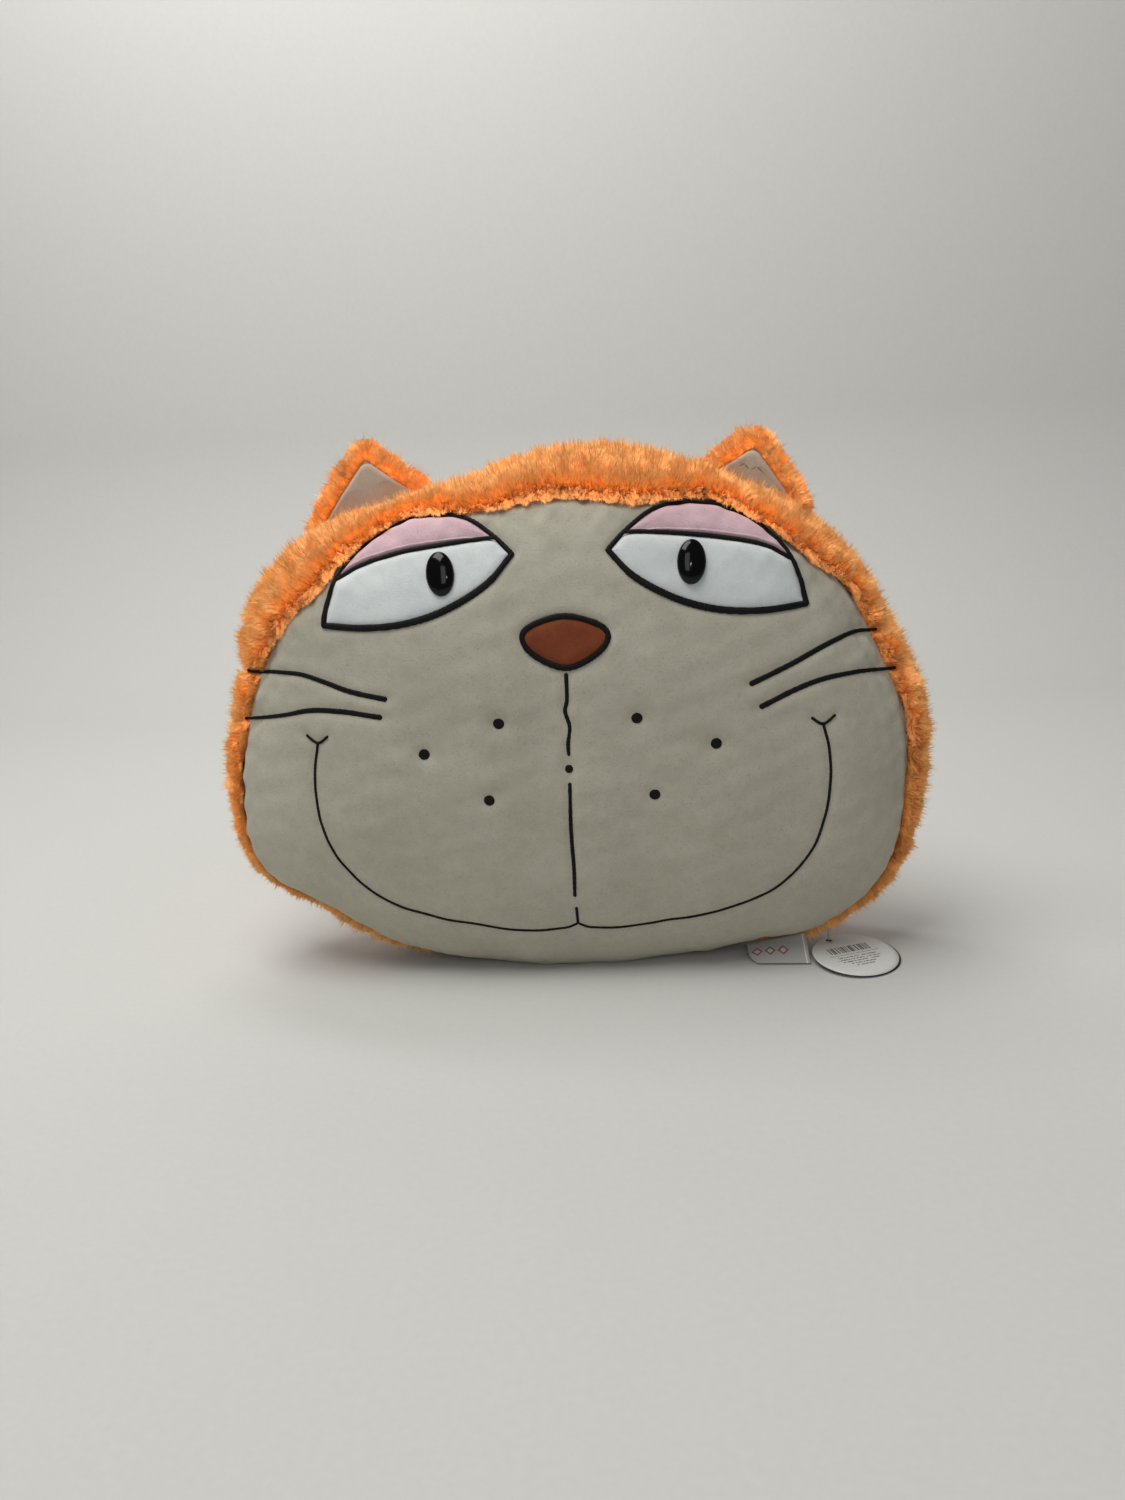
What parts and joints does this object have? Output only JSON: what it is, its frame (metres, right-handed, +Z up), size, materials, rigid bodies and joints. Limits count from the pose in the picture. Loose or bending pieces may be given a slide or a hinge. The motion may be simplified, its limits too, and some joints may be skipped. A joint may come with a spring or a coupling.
{
  "type": "plush cat head cushion",
  "caption": "Stuffed plush cushion shaped as a grinning cat's head, with folding ears, embroidered face, plastic eyes, sewn label and swing tag.",
  "frame": {"origin": "middle of the flattened underside that the cushion stands on, at floor height", "axes": "+X to the right of somebody looking at the face, +Y from the face to the back, +Z up"},
  "size_m": [0.4264, 0.1241, 0.3218],
  "materials": {
    "polyester_filling": "loose siliconised polyester fibre",
    "beige_minky": "short-pile minky, soft nap",
    "orange_plush": "shaggy plush, 6 to 7 mm pile",
    "white_velour": "shaved velour applique",
    "pink_velour": "shaved velour applique",
    "brown_velour": "shaved velour applique",
    "black_thread": "satin-stitched polyester thread, slight gloss",
    "black_plastic": "polished, high gloss",
    "natural_plastic": "natural polypropylene",
    "satin_ribbon": "woven satin ribbon",
    "white_card": "coated card, matt",
    "dark_card": "printed card, satin",
    "clear_plastic": "translucent nylon"
  },
  "bodies": {
    "cushion": {"fibre_filling": "polyester_filling", "face_panel": "beige_minky", "crown_band": "orange_plush", "back_panel": "orange_plush", "eye_white_left": "white_velour", "eye_white_right": "white_velour", "eyelid_left": "pink_velour", "eyelid_right": "pink_velour", "eye_outline_stitch_left": "black_thread", "eye_outline_stitch_right": "black_thread", "lid_line_stitch_left": "black_thread", "lid_line_stitch_right": "black_thread", "safety_eye_left": "black_plastic", "safety_eye_right": "black_plastic", "eye_washer_left": "natural_plastic", "eye_washer_right": "natural_plastic", "nose_pad": "brown_velour", "nose_outline_stitch": "black_thread", "philtrum_upper_stitch": "black_thread", "philtrum_lower_stitch": "black_thread", "mouth_stem_stitch": "black_thread", "lip_dot_stitch": "black_thread", "smile_stitch_left": "black_thread", "smile_stitch_right": "black_thread", "cheek_crease_stitch_left": "black_thread", "cheek_crease_stitch_right": "black_thread", "freckle_upper_left": "black_thread", "freckle_outer_left": "black_thread", "freckle_lower_left": "black_thread", "freckle_upper_right": "black_thread", "freckle_outer_right": "black_thread", "freckle_lower_right": "black_thread", "whisker_stitch_left_upper": "black_thread", "whisker_stitch_left_lower": "black_thread", "whisker_stitch_right_upper": "black_thread", "whisker_stitch_right_lower": "black_thread", "tag_pin": "clear_plastic"},
    "ear_left": {"ear_left_back_panel": "orange_plush", "ear_left_wadding": "polyester_filling", "ear_left_lining": "beige_minky"},
    "ear_right": {"ear_right_back_panel": "orange_plush", "ear_right_wadding": "polyester_filling", "ear_right_lining": "beige_minky"},
    "label": {"sewn_label": "satin_ribbon"},
    "tag_lower": {"hang_tag_lower_leaf": "dark_card"},
    "tag_upper": {"hang_tag_upper_leaf": "white_card"}
  },
  "joints": [
    {"name": "ear_left_fold", "type": "hinge", "parent": "cushion", "child": "ear_left", "pos_m": [-0.11458, 0, 0.28882], "axis": [0.9653, 0, 0.2613], "range_deg": [-50, 50], "stiffness_Nm_per_rad": 0.05},
    {"name": "ear_right_fold", "type": "hinge", "parent": "cushion", "child": "ear_right", "pos_m": [0.11779, 0, 0.288], "axis": [0.913, 0, -0.4079], "range_deg": [-50, 50], "stiffness_Nm_per_rad": 0.05},
    {"name": "label_lift", "type": "hinge", "parent": "cushion", "child": "label", "pos_m": [0.102, -0.008, 0.00534], "axis": [-0.9773, 0.0543, -0.2046], "range_deg": [0, 45]},
    {"name": "tag_lift", "type": "hinge", "parent": "cushion", "child": "tag_lower", "pos_m": [0.153, -0.0065, 0.00433], "axis": [-0.788, -0.6157, 0], "range_deg": [0, 18]},
    {"name": "tag_open", "type": "hinge", "parent": "tag_lower", "child": "tag_upper", "pos_m": [0.15073, -0.00359, 0.00583], "axis": [-0.788, -0.6157, 0], "range_deg": [0, 22]}
  ]
}
